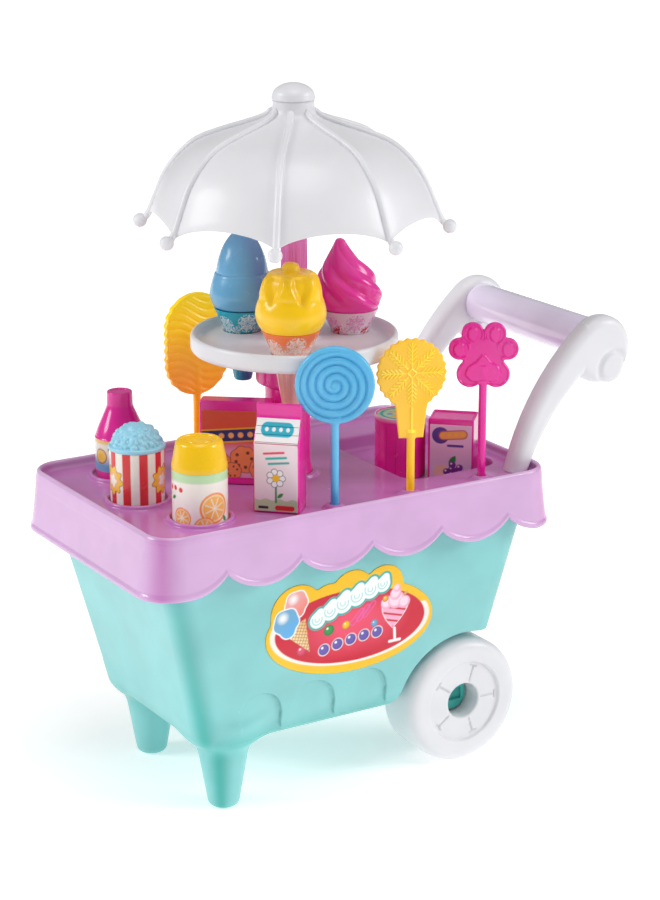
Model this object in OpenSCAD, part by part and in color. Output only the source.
// Toy push cart for ice cream and sweets.
// Origin: on the ground under the middle of the cart's overall length and width.
// +X points to the push handle, -Y to the cart's left side as its pusher sees it, and +Z up.
// Lengths along the cart are given from the middle of the tub.

/* [Body tub] */
// Length of the tub at its bottom
tub_bottom_l = 170; // [164:1:171]
// Width of the tub at its bottom
tub_bottom_w = 113; // [110:1:116]
// Length of the tub at its top edge
tub_top_l = 226; // [220:1:226]
// Width of the tub at its top edge
tub_top_w = 141; // [138:1:142]
// Height of the tub's underside above the ground
tub_bottom_z = 39; // [38:0.5:40]
// Wall thickness of the tub
tub_wall = 2; // [1.6:0.1:2.4]
// Distance from the middle to each front foot, along the cart
foot_x = 64.5; // [62:0.5:66]
// Distance from the middle to each front foot, across the cart
foot_y = 40; // [38:0.5:40.5]
// Radius of a foot at the ground
foot_r = 8; // [6:0.5:8]

/* [Wheels] */
// Radius of a wheel
wheel_r = 34.6; // [33:0.1:35]
// Width of a wheel
wheel_w = 28; // [26:0.5:28]
// Distance from the middle to the wheel centres, along the cart
wheel_x = 71.5; // [70:0.5:73]
// Distance from the middle to a wheel's outer face
wheel_face_y = 62.5; // [62.5:0.5:64]
// Radius of the open hub in a wheel's face
hub_r = 9.7; // [9:0.1:11]
// Depth of the open hub
hub_depth = 12; // [10:0.5:13]
// Radius of an axle pin
axle_r = 4; // [3.5:0.1:4.5]
// Radius of the wheel arch in the tub
arch_r = 38.5; // [37.5:0.5:39]

/* [Counter] */
// Length of the counter's rim
counter_l = 234; // [230:1:236]
// Width of the counter's rim
counter_w = 149.5; // [148:0.5:152]
// Height of the rim's top above the ground
rim_z = 162.5; // [161:0.5:164]
// Depth of the deck below the rim
deck_drop = 5; // [4.5:0.5:6]
// How far the skirt's lower edge stands out past the rim, at the ends
skirt_flare_x = 5.2; // [3:0.2:7]
// How far the skirt's lower edge stands out past the rim, at the sides
skirt_flare_y = 2.4; // [1.6:0.2:4]
// Height of the skirt's lower edge at the bottom of a scallop
skirt_z = 130.5; // [128:0.5:132]
// Length of one scallop
scallop_l = 42; // [40:0.5:43]
// Height of one scallop
scallop_h = 9; // [7:0.5:11]
// Length of the deep well in the rear of the deck
well_l = 58; // [56:1:60]
// Width of the deep well
well_w = 84; // [82:1:86]
// Depth of the well's floor below the deck
well_depth = 8.5; // [7:0.5:10]

/* [Handle] */
// Distance from the middle to the centre of each handle arm
arm_y = 56.5; // [56:0.5:57]
// Thickness of a handle arm across the cart
arm_t = 13; // [12:0.5:13]
// Width of a handle arm at its foot, seen from the side
arm_foot_w = 13; // [12:0.5:13]
// Radius of the scroll at the top of an arm
scroll_r = 18.5; // [17.5:0.5:19.5]
// Position of the scroll's centre, along the cart
scroll_x = 158.5; // [157:0.5:160]
// Height of the scroll's centre
scroll_z = 217; // [215:0.5:219]
// Radius of the round grip
grip_r = 11; // [10:0.5:11]

/* [Pole and display tray] */
// Offset of the pole from the middle, along the cart
pole_x = 3.4; // [2:0.2:5]
// Radius of the fluted pole
pole_r = 7; // [6.4:0.1:7]
// Height of the pole's top
pole_top_z = 351; // [348:0.5:352]
// Radius of the turntable head under the tray
head_r = 20.2; // [19:0.2:20.6]
// Height of the turntable head's top
head_z = 228.8; // [228:0.1:229]
// Radius of the display tray
tray_r = 54; // [53:0.5:54]
// Height of the tray's rim above its floor
tray_rim_h = 4.5; // [3:0.5:6]
// Distance from the pole to each ice cream
cone_ring_r = 32.5; // [32:0.5:33]
// Direction of the first ice cream about the pole
cone_turn = -124; // [-130:1:-118]

/* [Canopy] */
// Radius of the canopy at its rib tips
canopy_r = 80; // [78:0.5:81]
// Height of the rib tips
canopy_tip_z = 291.5; // [290:0.5:293]
// Height of the canopy's neck top
neck_z = 354.5; // [353:0.5:356]
// Thickness of the canopy shell
canopy_t = 1.6; // [1.4:0.1:2]
// Number of ribs
rib_count = 8; // [8]
// Radius of the ball at each rib tip
ball_r = 3.7; // [3:0.1:4]
// Direction of the first rib about the pole
rib_turn = 7.5; // [0:0.5:20]

/* [Pieces on the counter] */
// Turn of the loose pieces to face the front left corner
face_turn = -32; // [-35:1:-30]
// Radius of the round cups
cup_r = 14.2; // [13.5:0.1:14.4]
// Distance between the cups, across the cart
cup_pitch = 43; // [42:0.5:44]
// Radius of a lollipop stick
stick_r = 2.2; // [2:0.1:2.3]
// Running gap around a stick or a turning bore
gap = 0.05; // [0.03:0.01:0.1]

/* [Hidden] */
$fn = 96;

// Middle of the overall length, from the middle of the tub
mid_x = (scroll_x + scroll_r - counter_l / 2 - skirt_flare_x) / 2;
deck_z = rim_z - deck_drop;
deck_t = 2;
well_z = deck_z - well_depth;
well_wall = 1.5;
well_end_x = 105.8;
tub_top_z = deck_z - deck_t;
tub_edge = 5;
corner_r = 16;
corner_fn = 32;
tub_corner_r = 12;
eps = 0.01;

pocket_y = wheel_face_y - wheel_w - 1.5;
pin_head_t = 3;
pin_head_y = wheel_face_y - hub_depth;
arch_fillet_r = 10;

tongue_x = 99;
tongue_h = 9;

cup_side_x = -76;
cup_mid_x = -88.5;
cup_mid_y = 2;
socket_depth = 14;
// Centre of each lollipop socket
spiral_at = [-9.5, -60.5];
snowflake_at = [35.8, -61];
paw_at = [81, -60];
bar_at = [-21, 62];
lollipop_z = 221.6;

tray_z = head_z + 2.3;
tray_floor_t = 2.2;
tray_skirt_h = 3.5;
cone_hole_r = 9.6;
cone_tip_z = 204.5;
cream_z = 243.5;

label_t = 0.3;
cookie_size = [38, 10, 45];
cookie_at = [-30, 2.3];
milk_size = [23.6, 17, 35.5];
milk_at = [-33.4, -46.8];
milk_roof_h = 13;
milk_tab_h = 6.5;
snack_size = [24.5, 19, 34];
snack_at = [87.3, -25];
round_can_r = 14;
round_can_at = [65.4, -6.5];
round_can_h = 34;

// Moves a piece drawn about the middle of the tub to its place in the cart's frame
module in_frame() translate([-mid_x, 0, 0]) children();

// Points on an arc about (x, y), in 2D
function arc(x, y, r, from, to, steps = 12) =
    [for (i = [0 : steps]) let (a = from + (to - from) * i / steps) [x + r * cos(a), y + r * sin(a)]];

module rounded_rect(l, w, r) {
    square([l - 2 * r, w], center = true);
    square([l, w - 2 * r], center = true);
    for (x = [-1, 1], y = [-1, 1])
        translate([x * (l / 2 - r), y * (w / 2 - r)]) circle(r);
}

module slab(l, w, r, z, h) translate([0, 0, z]) linear_extrude(h) rounded_rect(l, w, r);

module ring(r_out, r_in, z, h) translate([0, 0, z]) difference() {
    cylinder(r = r_out, h = h);
    translate([0, 0, -1]) cylinder(r = r_in, h = h + 2);
}

// A cylinder along Y, from y0 to y1, centred on (x, z)
module y_cylinder(x, z, r, y0, y1) translate([x, y1, z]) rotate([90, 0, 0]) cylinder(r = r, h = y1 - y0);

// ---- Body tub ----

// Tub outline grown by d, with a rounded lower edge
module tub_form(d, z0, z1) {
    edge = tub_edge;
    hull($fn = corner_fn) {
        slab(tub_bottom_l - 2 * edge + 2 * d, tub_bottom_w - 2 * edge + 2 * d, tub_corner_r - edge, z0, eps);
        slab(tub_bottom_l - edge / 2 + 2 * d, tub_bottom_w - edge / 2 + 2 * d, tub_corner_r, z0 + edge / 3, eps);
        slab(tub_bottom_l + 1.5 + 2 * d, tub_bottom_w + 1 + 2 * d, tub_corner_r, z0 + edge, eps);
        slab(tub_top_l + 2 * d, tub_top_w + 2 * d, tub_corner_r + 2, z1 - eps, eps);
    }
}

// Space that a wheel turns in, on the side s, grown by d
module wheel_pocket(s, d) {
    scale_y = pocket_y - d;
    box_top = tub_bottom_z + 31.5 + d;
    mirror([0, s > 0 ? 1 : 0, 0]) {
        y_cylinder(wheel_x, wheel_r, arch_r + d, -90, -scale_y);
        translate([wheel_x, -90, 0]) cube([50, 90 - scale_y, box_top]);
    }
}

// Curve that eases the wheel arch into the tub's lower edge
module arch_flare(s) {
    z = tub_bottom_z + arch_fillet_r;
    rise = z - wheel_r;
    x = wheel_x - sqrt(pow(arch_r + arch_fillet_r, 2) - rise * rise);
    touch_z = z - rise * arch_fillet_r / (arch_r + arch_fillet_r);
    mirror([0, s > 0 ? 1 : 0, 0])
    translate([0, -pocket_y, 0]) rotate([90, 0, 0]) linear_extrude(60) difference() {
        translate([x, tub_bottom_z - 8]) square([14, touch_z - tub_bottom_z + 8]);
        translate([x, z]) circle(arch_fillet_r);
    }
}

module foot(s) {
    root_l = 36;
    root_w = 32;
    mid_r = foot_r + 3.2;
    mid_z = 20;
    translate([-foot_x, s * foot_y, 0]) {
        hull($fn = corner_fn) {
            cylinder(r = foot_r - 2, h = eps);
            translate([0, 0, 2]) cylinder(r = foot_r, h = eps);
            translate([0, 0, mid_z]) cylinder(r = mid_r, h = eps);
        }
        hull($fn = corner_fn) {
            translate([0, 0, mid_z]) cylinder(r = mid_r, h = eps);
            slab(root_l, root_w, corner_r - 2, tub_bottom_z + 4, eps);
        }
    }
}

// Round-topped panels pressed into the lower sides
module side_panels(s) {
    panel_w = 26;
    panel_pitch = 32;
    panel_x = -53;
    panel_top = 65.5;
    lean = atan((tub_top_w - tub_bottom_w) / 2 / (tub_top_z - tub_bottom_z));
    press_depth = 0.9;
    mirror([0, s > 0 ? 1 : 0, 0])
    for (i = [0 : 2])
        translate([panel_x + i * panel_pitch, -tub_bottom_w / 2 - 0.5, tub_bottom_z + 5])
            rotate([90 + lean, 0, 0]) translate([0, 0, -press_depth]) linear_extrude(press_depth + 2) {
                translate([-panel_w / 2, 0]) square([panel_w, panel_top - tub_bottom_z - 5 - panel_w / 2]);
                translate([0, panel_top - tub_bottom_z - 5 - panel_w / 2]) circle(panel_w / 2);
            }
}

// Housing across the underside that the axle pins are pressed into
module axle_housing() {
    housing_r = axle_r + 4;
    y_cylinder(wheel_x, wheel_r, housing_r, -pocket_y + eps, pocket_y - eps);
    translate([wheel_x - housing_r, -pocket_y + eps, wheel_r])
        cube([2 * housing_r, 2 * pocket_y - 2 * eps, tub_bottom_z + tub_wall - wheel_r]);
}

module tub() in_frame() color([0.5, 0.81, 0.78]) {
    difference() {
        union() {
            difference() {
                tub_form(0, tub_bottom_z, tub_top_z);
                difference() {
                    tub_form(-tub_wall, tub_bottom_z + tub_wall, tub_top_z + 1);
                    for (s = [-1, 1]) wheel_pocket(s, tub_wall);
                    axle_housing();
                }
            }
            for (s = [-1, 1]) foot(s);
            axle_housing();
        }
        for (s = [-1, 1]) {
            wheel_pocket(s, 0);
            arch_flare(s);
            side_panels(s);
        }
        y_cylinder(wheel_x, wheel_r, axle_r, -pocket_y - 1, -pocket_y + 10);
        y_cylinder(wheel_x, wheel_r, axle_r, pocket_y - 10, pocket_y + 1);
    }
}

// ---- Wheels ----

module wheel_body() color([0.95, 0.95, 0.96]) {
    edge = 5;
    web_t = 11;
    spoke_w = 1.2;
    groove_r = wheel_r * 0.7;
    difference() {
        rotate_extrude() difference() {
            polygon(concat([[axle_r + gap, 0]],
                arc(wheel_r - 3, 3, 3, -90, 0), arc(wheel_r - edge, wheel_w - edge, edge, 0, 90),
                [[hub_r, wheel_w], [hub_r, wheel_w - hub_depth - pin_head_t - 0.1],
                [axle_r + gap, wheel_w - hub_depth - pin_head_t - 0.1]]));
            translate([axle_r + 5, -1]) square([wheel_r - axle_r - 9, wheel_w - hub_depth - web_t / 2]);
            translate([groove_r, wheel_w - 0.8]) square([1.2, 2]);
        }
        for (i = [0 : 4])
            rotate([0, 0, 72 * i]) translate([0, 0, wheel_w - 0.8]) {
                translate([hub_r + 1.5, -spoke_w / 2, 0]) cube([groove_r - hub_r - 6, spoke_w, 2]);
                translate([groove_r - 5.5, -2.8, 0]) cube([spoke_w, 5.6, 2]);
            }
    }
}

// Places a piece drawn along +Z so that it points outwards along the axle, on the side s
module on_axle(s, y) translate([wheel_x, s * y, wheel_r]) rotate([s < 0 ? 90 : -90, 0, 0]) children();

module wheel_left() in_frame() on_axle(-1, wheel_face_y - wheel_w) wheel_body();
module wheel_right() in_frame() on_axle(1, wheel_face_y - wheel_w) wheel_body();

module axle_pin(s) color([0.35, 0.72, 0.69]) on_axle(s, pocket_y - 10) {
    cylinder(r = axle_r, h = pin_head_y - pin_head_t - pocket_y + 10 + eps);
    translate([0, 0, pin_head_y - pin_head_t - pocket_y + 10]) cylinder(r = hub_r - 1.1, h = pin_head_t);
}
module axle_pin_left() in_frame() axle_pin(-1);
module axle_pin_right() in_frame() axle_pin(1);

// ---- Badges on the sides ----

// Tilted oval with four cloud lobes along its top
module badge_outline() {
    half_l = 51;
    half_h = 26;
    lobes = [[-31.5, 12, 15], [-12.5, 12, 12], [1, 16, 13], [20, 15.5, 12.7]];
    translate([2, -3.5]) rotate(-4) polygon([for (a = [0 : 6 : 354]) [half_l * cos(a), half_h * sin(a)]]);
    for (p = lobes) translate([p[0], p[1]]) circle(p[2]);
}

module side_badge(s) color([1, 0.82, 0.1]) {
    foot_w = tub_bottom_w + 1;
    foot_z = tub_bottom_z + tub_edge;
    lean = atan((tub_top_w - foot_w) / 2 / (tub_top_z - foot_z));
    badge_x = -3.5;
    badge_z = 96;
    wall_y = foot_w / 2 + (badge_z - foot_z) * tan(lean) + eps;
    mirror([0, s > 0 ? 1 : 0, 0])
        translate([badge_x, -wall_y, badge_z]) rotate([90 + lean, 0, 0])
            linear_extrude(label_t) badge_outline();
}
module side_badge_left() in_frame() side_badge(-1);
module side_badge_right() in_frame() side_badge(1);

// ---- Counter ----

// Solid form of the skirt and rim, shrunk by d
module skirt_form(d) hull($fn = corner_fn) {
    slab(counter_l - 2 * d, counter_w - 2 * d, corner_r - d, rim_z - eps, eps);
    slab(counter_l + 2 * skirt_flare_x - 2 * d, counter_w + 2 * skirt_flare_y - 2 * d, corner_r + 3 - d,
        skirt_z, eps);
}

// Side view of the skirt: scallops along the middle, straight at the ends
module skirt_side() {
    lobe_r = (pow(scallop_l / 2, 2) + pow(scallop_h, 2)) / 2 / scallop_h;
    first_x = pole_x + 0.6 - 2 * scallop_l;
    end_x = counter_l / 2 + 20;
    translate([-end_x, skirt_z + scallop_h]) square([2 * end_x, 60]);
    for (i = [-1 : 4])
        translate([first_x + (i + 0.5) * scallop_l, skirt_z + lobe_r]) intersection() {
            circle(lobe_r);
            translate([-scallop_l / 2, -lobe_r]) square([scallop_l, lobe_r]);
        }
    for (s = [-1, 1])
        translate([s > 0 ? first_x + 4.5 * scallop_l : -end_x, skirt_z])
            square([s > 0 ? end_x - first_x - 4.5 * scallop_l : end_x + first_x - scallop_l / 2, 20]);
}

module cup_places() {
    for (s = [-1, 1]) translate([cup_side_x, cup_mid_y + s * cup_pitch, 0]) children();
    translate([cup_mid_x, cup_mid_y, 0]) children();
}

module lollipop_places() for (p = [spiral_at, snowflake_at, paw_at, bar_at])
    translate([p[0], p[1], 0]) children();

module well_plan(d) translate([well_end_x - well_l / 2, 0])
    rounded_rect(well_l + 2 * d, well_w + 2 * d, 10 + d);

// Tongue under a left arm's foot, reaching up to height top
module arm_tongue(top) translate([tongue_x, -arm_y - 2, deck_z - tongue_h])
    cube([6, 8, top - deck_z + tongue_h]);

module counter() in_frame() color([0.85, 0.66, 0.85]) difference() {
    union() {
        difference() {
            intersection() {
                skirt_form(0);
                rotate([90, 0, 0]) translate([0, 0, -100]) linear_extrude(200) skirt_side();
            }
            skirt_form_cavity();
            translate([0, 0, deck_z]) linear_extrude(20)
                rounded_rect(counter_l - 5, counter_w - 5, corner_r - 2.5);
        }
        translate([0, 0, well_z - well_wall]) linear_extrude(deck_z - well_z + well_wall - deck_t / 2)
            well_plan(well_wall);
        cup_places() cylinder(r = cup_r + 2.8, h = deck_z + 2.2);
        lollipop_places() cylinder(r = 4.6, h = deck_z + 1.8);
        translate([pole_x, 0, 0]) cylinder(r = 12.5, h = deck_z + 2);
    }
    translate([0, 0, well_z]) linear_extrude(20) well_plan(0);
    cup_places() translate([0, 0, deck_z]) cylinder(r = cup_r + 0.6, h = 10);
    lollipop_places() translate([0, 0, deck_z - socket_depth]) cylinder(r = stick_r + gap, h = 30);
    translate([pole_x, 0, deck_z - 8]) cylinder(r = 9, h = 20);
    for (s = [-1, 1]) mirror([0, s > 0 ? 1 : 0, 0]) arm_tongue(deck_z + 1);
    // Trims the bosses under the deck
    difference() {
        translate([-112, -70, -1]) cube([224, 140, deck_z - deck_t + 1]);
        translate([0, 0, well_z - well_wall]) linear_extrude(20) well_plan(well_wall);
        lollipop_places() translate([0, 0, deck_z - socket_depth - 2]) cylinder(r = 4.6, h = 30);
        translate([pole_x, 0, deck_z - 10]) cylinder(r = 12.5, h = 30);
    }
}

// Hollow under the deck
module skirt_form_cavity() {
    wall = 1.8;
    hull($fn = corner_fn) {
        slab(counter_l - 2 * wall, counter_w - 2 * wall, corner_r - wall, deck_z - deck_t - eps, eps);
        slab(counter_l + 2 * skirt_flare_x - 2 * wall, counter_w + 2 * skirt_flare_y - 2 * wall,
            corner_r + 3 - wall, skirt_z - 1, eps);
    }
}

// ---- Handle ----

// Side view of an arm: a curved bar that ends in a scroll
module arm_side() {
    bend_x = 232.5;
    bend_z = 124.5;
    bend_r = 138;
    foot_a = 180 - asin((deck_z - bend_z) / bend_r);
    top_a = 128;
    back_x = bend_x - 24 + arm_foot_w;
    back_z = bend_z - 10.6;
    back_r = 118.3;
    polygon(concat(arc(bend_x, bend_z, bend_r, foot_a, top_a, 20),
        arc(back_x, back_z, back_r, top_a + 2, 180 - asin((deck_z - back_z) / back_r), 20)));
    translate([scroll_x, scroll_z]) circle(scroll_r);
}

module handle_arm(s) color([0.95, 0.95, 0.97]) {
    grip_x = scroll_x - 1;
    grip_z = scroll_z + 4;
    mirror([0, s > 0 ? 1 : 0, 0]) difference() {
        union() {
            translate([0, -arm_y + arm_t / 2, 0]) rotate([90, 0, 0]) linear_extrude(arm_t) arm_side();
            arm_tongue(deck_z + 1);
        }
        y_cylinder(grip_x, grip_z, grip_r - 3, -arm_y + arm_t / 2 - 5, -arm_y + arm_t / 2 + 1);
    }
}
module handle_arm_left() in_frame() handle_arm(-1);
module handle_arm_right() in_frame() handle_arm(1);

module grip_bar() in_frame() color([0.86, 0.78, 0.93]) {
    grip_x = scroll_x - 1;
    grip_z = scroll_z + 4;
    end_y = arm_y - arm_t / 2;
    difference() {
        union() {
            y_cylinder(grip_x, grip_z, grip_r, -end_y, end_y);
            y_cylinder(grip_x, grip_z, grip_r - 3, -end_y - 5, end_y + 5);
        }
        y_cylinder(grip_x, grip_z, grip_r - 5, -end_y - 6, end_y + 6);
    }
}

// ---- Pole and display tray ----

module pole_base() in_frame() color([0.9, 0.3, 0.66]) translate([pole_x, 0, 0]) difference() {
    union() {
        translate([0, 0, deck_z - 8]) cylinder(r = 9, h = 60);
        translate([0, 0, 197]) cylinder(r = 15.5, h = 11);
        translate([0, 0, 207]) cylinder(r = head_r, h = head_z - 207);
        translate([0, 0, head_z - 1]) cylinder(r = 10, h = 3.7);
    }
    translate([0, 0, head_z - 15]) cylinder(r = 5, h = 30);
}

module pole() in_frame() color([0.93, 0.55, 0.8]) translate([pole_x, 0, 0]) {
    flutes = 12;
    foot_z = head_z + 2.7;
    translate([0, 0, head_z - 15]) cylinder(r = 5, h = 20);
    translate([0, 0, foot_z]) linear_extrude(pole_top_z - foot_z) difference() {
        circle(pole_r);
        for (i = [0 : flutes - 1]) rotate(i * 360 / flutes) translate([pole_r + 0.7, 0]) circle(1.3);
    }
}

module cone_places() for (i = [0 : 2])
    rotate([0, 0, cone_turn + 120 * i]) translate([cone_ring_r, 0, 0]) children();

module display_tray() in_frame() color([0.96, 0.96, 0.97]) translate([pole_x, 0, 0]) difference() {
    union() {
        translate([0, 0, tray_z - tray_floor_t]) cylinder(r = tray_r - 1, h = tray_floor_t);
        ring(tray_r, tray_r - 2.4, tray_z - tray_floor_t - tray_skirt_h,
            tray_floor_t + tray_skirt_h + tray_rim_h);
        cone_places() translate([0, 0, tray_z - tray_floor_t - 4]) cylinder(r = cone_hole_r + 1.6, h = 5);
        translate([0, 0, tray_z - 1]) cylinder(r = 13, h = 1.8);
    }
    translate([0, 0, tray_z - 10]) cylinder(r = 10 + gap, h = 20);
    cone_places() translate([0, 0, tray_z - 10]) cylinder(r = cone_hole_r, h = 20);
}

// ---- Canopy ----

// Bell profile as fractions of the canopy's radius and of its height above the rib tips
bell_shape = [[0.133, 1], [0.136, 0.945], [0.168, 0.91], [0.258, 0.871], [0.458, 0.783], [0.618, 0.694],
    [0.74, 0.548], [0.824, 0.394], [0.878, 0.238], [0.932, 0.075], [0.968, 0.01]];

// Smooth curve through a list of points, n steps to a stretch
function smooth(p, n) = [for (i = [0 : len(p) - 2], k = [0 : n - 1]) let (t = k / n,
    a = p[max(i - 1, 0)], b = p[i], c = p[i + 1], d = p[min(i + 2, len(p) - 1)])
    0.5 * (2 * b + (c - a) * t + (2 * a - 5 * b + 4 * c - d) * t * t + (3 * b - a - 3 * c + d) * t * t * t)];

// A list of points moved sideways by d
function beside(p, d) = [for (i = [0 : len(p) - 1]) let (e = p[min(i + 1, len(p) - 1)] - p[max(i - 1, 0)])
    p[i] + d * [-e[1], e[0]] / norm(e)];

function bell(d) = [for (p = beside(smooth([for (q = bell_shape)
    [q[0] * canopy_r, canopy_tip_z + q[1] * (neck_z - canopy_tip_z)]], 3), d)) [p[0], min(p[1], neck_z)]];

module bell_ring(outside, inside) rotate_extrude()
    polygon(concat(bell(outside), [for (i = [len(bell(inside)) - 1 : -1 : 0]) bell(inside)[i]]));

module canopy() in_frame() color([0.96, 0.96, 0.98]) translate([pole_x, 0, 0]) {
    sag = 5.2;
    edge_z = 295;
    chord = 29;
    cut_r = (chord * chord + sag * sag) / 2 / sag;
    step = 360 / rib_count;
    rib_w = 3.2;
    difference() {
        bell_ring(0, -canopy_t);
        for (i = [0 : rib_count - 1])
            rotate([0, 0, rib_turn + (i + 0.5) * step]) translate([40, 0, edge_z + sag - cut_r])
                rotate([0, 90, 0]) cylinder(r = cut_r, h = 60);
    }
    intersection() {
        bell_ring(1.3, -canopy_t / 2);
        for (i = [0 : rib_count - 1])
            rotate([0, 0, rib_turn + i * step]) translate([9, -rib_w / 2, 280])
                cube([90, rib_w, neck_z - 280]);
    }
    for (i = [0 : rib_count - 1])
        rotate([0, 0, rib_turn + i * step]) translate([canopy_r, 0, canopy_tip_z])
            sphere(r = ball_r, $fn = 48);
    ring(10.6, pole_r + gap, 336, neck_z - 336);
    translate([0, 0, pole_top_z + 0.5]) ring(10, 3, 0, neck_z - pole_top_z - 0.5);
}

module canopy_cap() in_frame() color([0.96, 0.96, 0.98]) translate([pole_x, 0, 0]) {
    cap_r = 11.2;
    cap_h = 9;
    translate([0, 0, neck_z]) rotate_extrude()
        polygon(concat([[0, 0], [cap_r, 0]],
            [for (a = [6 : 6 : 90]) [cap_r * cos(a), 1 + (cap_h - 1) * sin(a)]]));
    translate([0, 0, neck_z - 3]) cylinder(r = 3, h = 4);
}

// ---- Ice creams ----

module at_cone(i) translate([pole_x, 0, 0]) rotate([0, 0, cone_turn + 120 * i]) translate([cone_ring_r, 0, 0])
    children();

// Hollow tapered cup
module cone_cup(tint) color(tint) rotate_extrude() polygon([
    [0, cone_tip_z], [4.2, cone_tip_z], [4.8, cone_tip_z + 1], [9.4, tray_z], [15, cream_z],
    [13.8, cream_z], [8.2, tray_z], [3.6, cone_tip_z + 2], [0, cone_tip_z + 2]]);

module blue_cone_cup() in_frame() at_cone(2) cone_cup([0.2, 0.68, 0.8]);
module orange_cone_cup() in_frame() at_cone(0) cone_cup([1, 0.5, 0.25]);
module pink_cone_cup() in_frame() at_cone(1) cone_cup([0.97, 0.75, 0.85]);

module cream_plug() translate([0, 0, cream_z - 3]) cylinder(r = 11.4, h = 3.5);

module blue_cream() in_frame() color([0.36, 0.66, 0.84]) at_cone(2) {
    cream_plug();
    rotate_extrude() polygon(concat([[0, cream_z], [13.6, cream_z]],
        arc(6, 250, 11.4, -30, 50, 8), [[13.2, 260], [14.2, 261]],
        arc(-9, 259, 23.5, 6, 50, 8), arc(0, 279, 6.2, 45, 90, 4)));
}

module yellow_cream() in_frame() color([1, 0.85, 0.1]) at_cone(0) {
    cream_plug();
    rotate_extrude() polygon(concat([[0, cream_z], [14.6, cream_z]],
        arc(6.5, 255.5, 11.6, -50, 60, 10), [[12.6, 266.5]],
        arc(5, 266.5, 5, 20, 90, 5), [[4.4, 271.5], [4.4, 276]],
        arc(1.5, 275.6, 2.7, 10, 90, 5), [[0, 278.3]]));
}

module magenta_cream() in_frame() color([0.88, 0.16, 0.55]) at_cone(1) {
    cream_plug();
    rotate_extrude() polygon(concat([[0, cream_z], [14.4, cream_z]],
        arc(5, 251.5, 11.2, -40, 45, 8), [[10, 265], [6.5, 272], [3.4, 278], [1.2, 280.5], [0, 280.8]]));
}

// ---- Lollipops ----

// Puts a head drawn in the XY plane upright at height z, facing the front left corner
module lollipop_head(t, turn = face_turn) translate([0, 0, lollipop_z]) rotate([0, 0, turn])
    rotate([90, 0, 0]) translate([0, 0, -t / 2]) linear_extrude(t) children();

module stick(top) translate([0, 0, deck_z - socket_depth + 0.5])
    cylinder(r = stick_r, h = top - deck_z + socket_depth);

module spiral_lollipop() in_frame() color([0.3, 0.68, 0.87]) translate([spiral_at[0], spiral_at[1], 0]) {
    stick(lollipop_z - 16);
    lollipop_head(4.4) circle(20);
}

module snowflake_lollipop() in_frame() color([0.98, 0.87, 0.15])
    translate([snowflake_at[0], snowflake_at[1], 0]) {
    bumps = 24;
    neck_drop = 34.5;
    stick(lollipop_z - 20);
    lollipop_head(3.6, face_turn + 10) {
        circle(17.2);
        for (i = [0 : bumps - 1]) rotate(i * 360 / bumps) translate([17, 0]) circle(1.6);
        polygon([[-9.5, -12], [9.5, -12], [5.4, -neck_drop], [-5.4, -neck_drop]]);
    }
}

module paw_lollipop() in_frame() color([0.87, 0.2, 0.58]) translate([paw_at[0], paw_at[1], 0]) {
    stick(lollipop_z);
    lollipop_head(4.4) {
        translate([0, -0.5]) circle(10.5);
        for (s = [-1, 1]) {
            translate([s * 6.8, -7]) circle(7);
            translate([s * 13, 6.5]) circle(5.6);
            translate([s * 5.6, 14.5]) circle(5.9);
            translate([s * 8.5, 1]) circle(5);
        }
        translate([0, 8]) square([12, 10], center = true);
    }
}

module bar_lollipop() in_frame() color([1, 0.76, 0.05]) translate([bar_at[0], bar_at[1], 0]) {
    half_w = 19.4;
    half_h = 28.7;
    stick(lollipop_z - 20);
    lollipop_head(4, 0) translate([0, -3.6]) {
        for (s = [-1, 1]) translate([0, s * (half_h - half_w)]) circle(half_w);
        square([2 * half_w, 2 * (half_h - half_w)], center = true);
    }
}

// ---- Cups, bottle and can in the collars ----

module bottle_place() translate([cup_side_x, cup_mid_y + cup_pitch, deck_z]) children();
module popcorn_place() translate([cup_mid_x, cup_mid_y, deck_z]) children();
module juice_place() translate([cup_side_x, cup_mid_y - cup_pitch, deck_z]) children();

bottle_r = cup_r - 0.8;
bottle_label_z = 5;
bottle_label_h = 17;

module bottle() in_frame() color([0.8, 0.1, 0.5]) bottle_place() rotate_extrude()
    polygon(concat([[0, 0]], arc(bottle_r - 2, 2, 2, -90, 0, 4),
        arc(bottle_r - 14, 20, 14, 0, 30, 6), arc(bottle_r + 7.6, 36.4, 13.5, 217, 180, 6),
        [[6.1, 38], [0, 38]]));

module bottle_cap() in_frame() color([0.8, 0.1, 0.5]) bottle_place() translate([0, 0, 38])
    rotate_extrude() polygon(concat([[0, 0], [7, 0]], arc(5.5, 7, 1.5, 0, 90, 4), [[0, 8.5]]));

module bottle_label() in_frame() color([0.85, 0.85, 0.6]) bottle_place()
    ring(bottle_r + label_t, bottle_r, bottle_label_z, bottle_label_h);

module popcorn_cup() in_frame() color([0.86, 0.12, 0.14]) popcorn_place() rotate_extrude()
    polygon([[0, 0], [cup_r - 0.1, 0], [cup_r + 0.1, 29], [cup_r - 1.2, 29], [cup_r - 1.4, 1.4], [0, 1.4]]);

module popcorn() in_frame() color([0.35, 0.68, 0.83]) popcorn_place() {
    translate([0, 0, 25]) cylinder(r = cup_r - 1.5, h = 5);
    rotate_extrude() polygon(concat([[0, 29]], arc(cup_r - 0.4, 30, 1, -90, 90, 6),
        arc(0, 27.5, 15.2, 14, 90, 10)));
}

juice_h = 27;
module juice_can() in_frame() color([0.93, 0.93, 0.9]) juice_place() rotate_extrude()
    polygon(concat([[0, 0]], arc(cup_r - 1.6, 1.2, 1.2, -90, 0, 4), [[cup_r - 0.4, juice_h], [0, juice_h]]));

module juice_label() in_frame() color([1, 0.65, 0.2]) juice_place()
    ring(cup_r - 0.4 + label_t, cup_r - 0.4, 1.5, juice_h - 2);

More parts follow.
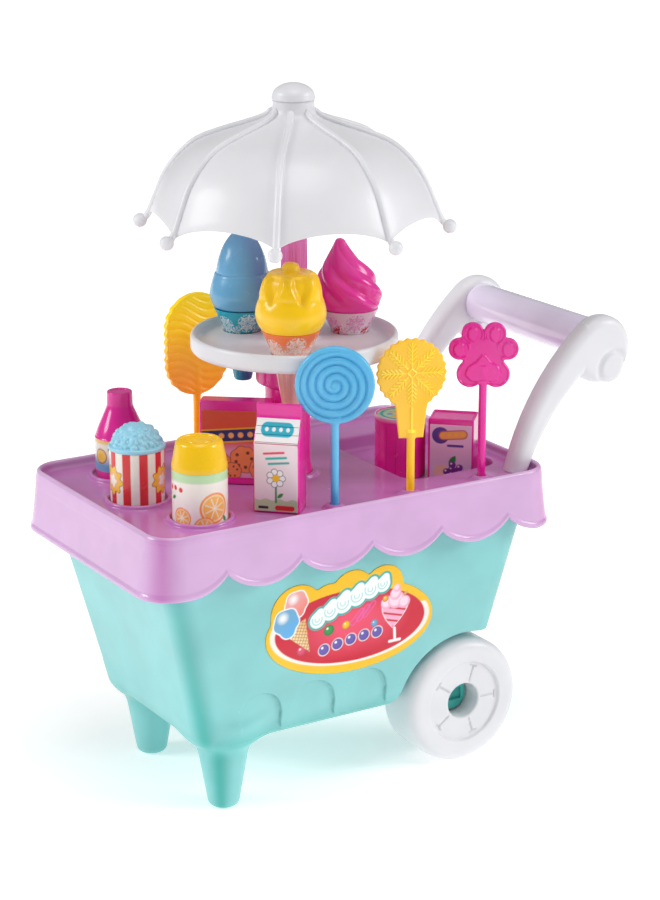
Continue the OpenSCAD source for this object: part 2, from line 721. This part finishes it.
module juice_cap() in_frame() color([1, 0.87, 0.1]) juice_place() rotate_extrude()
    polygon(concat([[0, juice_h], [cup_r - 0.1, juice_h]], arc(cup_r - 8, juice_h + 5, 7.9, 0, 40, 6),
        arc(cup_r - 5.6, juice_h + 12.6, 2.6, 20, 90, 5), [[0, juice_h + 15.2]]));

// ---- Boxes and cans in the well ----

module cookie_place() translate([cookie_at[0], cookie_at[1], deck_z])
    rotate([0, 0, face_turn - 6]) children();
module milk_place() translate([milk_at[0], milk_at[1], deck_z]) rotate([0, 0, face_turn - 12]) children();
module snack_place() translate([snack_at[0], snack_at[1], well_z]) rotate([0, 0, face_turn - 11]) children();

// Box standing on z = 0, its front face towards -Y
module standing_box(size) translate([-size[0] / 2, -size[1] / 2, 0]) cube(size);

// Label on a standing box's front face, inset from its edges
module front_label(size, inset_x, z0, z1)
    translate([-size[0] / 2 + inset_x, -size[1] / 2 - label_t, z0])
        cube([size[0] - 2 * inset_x, label_t, z1 - z0]);

module cookie_box() in_frame() color([0.82, 0.05, 0.48]) cookie_place() standing_box(cookie_size);
module cookie_label() in_frame() color([0.8, 0.25, 0.3]) cookie_place()
    front_label(cookie_size, 1.2, 4, cookie_size[2] - 5);

// Side view of the carton, from its front edge: wall, sloping roof and ridge tab
module carton_side() {
    half = milk_size[1] / 2;
    eaves = milk_size[2];
    ridge = eaves + milk_roof_h;
    polygon([[-half, 0], [half, 0], [half, eaves], [0.9, ridge], [0.9, ridge + milk_tab_h],
        [-0.9, ridge + milk_tab_h], [-0.9, ridge], [-half, eaves]]);
}

module milk_carton() in_frame() color([0.85, 0.08, 0.5]) milk_place()
    rotate([90, 0, 90]) translate([0, 0, -milk_size[0] / 2]) linear_extrude(milk_size[0]) carton_side();

// Label that runs up the carton's front and over its roof
module milk_label() in_frame() color([0.93, 0.8, 0.83]) milk_place() {
    half = milk_size[1] / 2;
    eaves = milk_size[2];
    ridge = eaves + milk_roof_h;
    label_w = milk_size[0] - 1;
    rotate([90, 0, 90]) translate([0, 0, -label_w / 2]) linear_extrude(label_w)
        polygon([[-half, 1], [-half, eaves], [-0.9, ridge], [-0.9 - label_t, ridge], [-half - label_t, eaves],
            [-half - label_t, 1]]);
}

module snack_box() in_frame() color([0.85, 0.1, 0.5]) snack_place() difference() {
    standing_box(snack_size);
    translate([-snack_size[0] / 2 + 1.6, -snack_size[1] / 2 + 1.6, snack_size[2] - 0.8])
        cube([snack_size[0] - 3.2, snack_size[1] - 3.2, 2]);
}
module snack_label() in_frame() color([0.9, 0.65, 0.8]) snack_place()
    front_label(snack_size, 0.8, 1, snack_size[2] - 3);

module can_place() translate([round_can_at[0], round_can_at[1], well_z]) children();

module round_can() in_frame() color([0.82, 0.08, 0.52]) can_place() rotate_extrude()
    polygon(concat([[0, 0]], arc(round_can_r - 1.2, 1, 1, -90, 0, 4), [[round_can_r - 0.2, round_can_h - 3],
        [round_can_r, round_can_h - 2.8], [round_can_r, round_can_h], [round_can_r - 1, round_can_h],
        [round_can_r - 1, round_can_h - 0.8], [0, round_can_h - 0.8]]));

module round_can_lid() in_frame() color([0.6, 0.8, 0.6]) can_place()
    translate([0, 0, round_can_h - 0.8]) cylinder(r = round_can_r - 1.1, h = label_t);

tub();
counter();
axle_pin_left();
axle_pin_right();
wheel_left();
wheel_right();
side_badge_left();
side_badge_right();
handle_arm_left();
handle_arm_right();
grip_bar();
pole_base();
pole();
display_tray();
canopy();
canopy_cap();
blue_cone_cup();
blue_cream();
orange_cone_cup();
yellow_cream();
pink_cone_cup();
magenta_cream();
spiral_lollipop();
snowflake_lollipop();
paw_lollipop();
bar_lollipop();
bottle();
bottle_cap();
bottle_label();
popcorn_cup();
popcorn();
juice_can();
juice_cap();
juice_label();
cookie_box();
cookie_label();
milk_carton();
milk_label();
snack_box();
snack_label();
round_can();
round_can_lid();
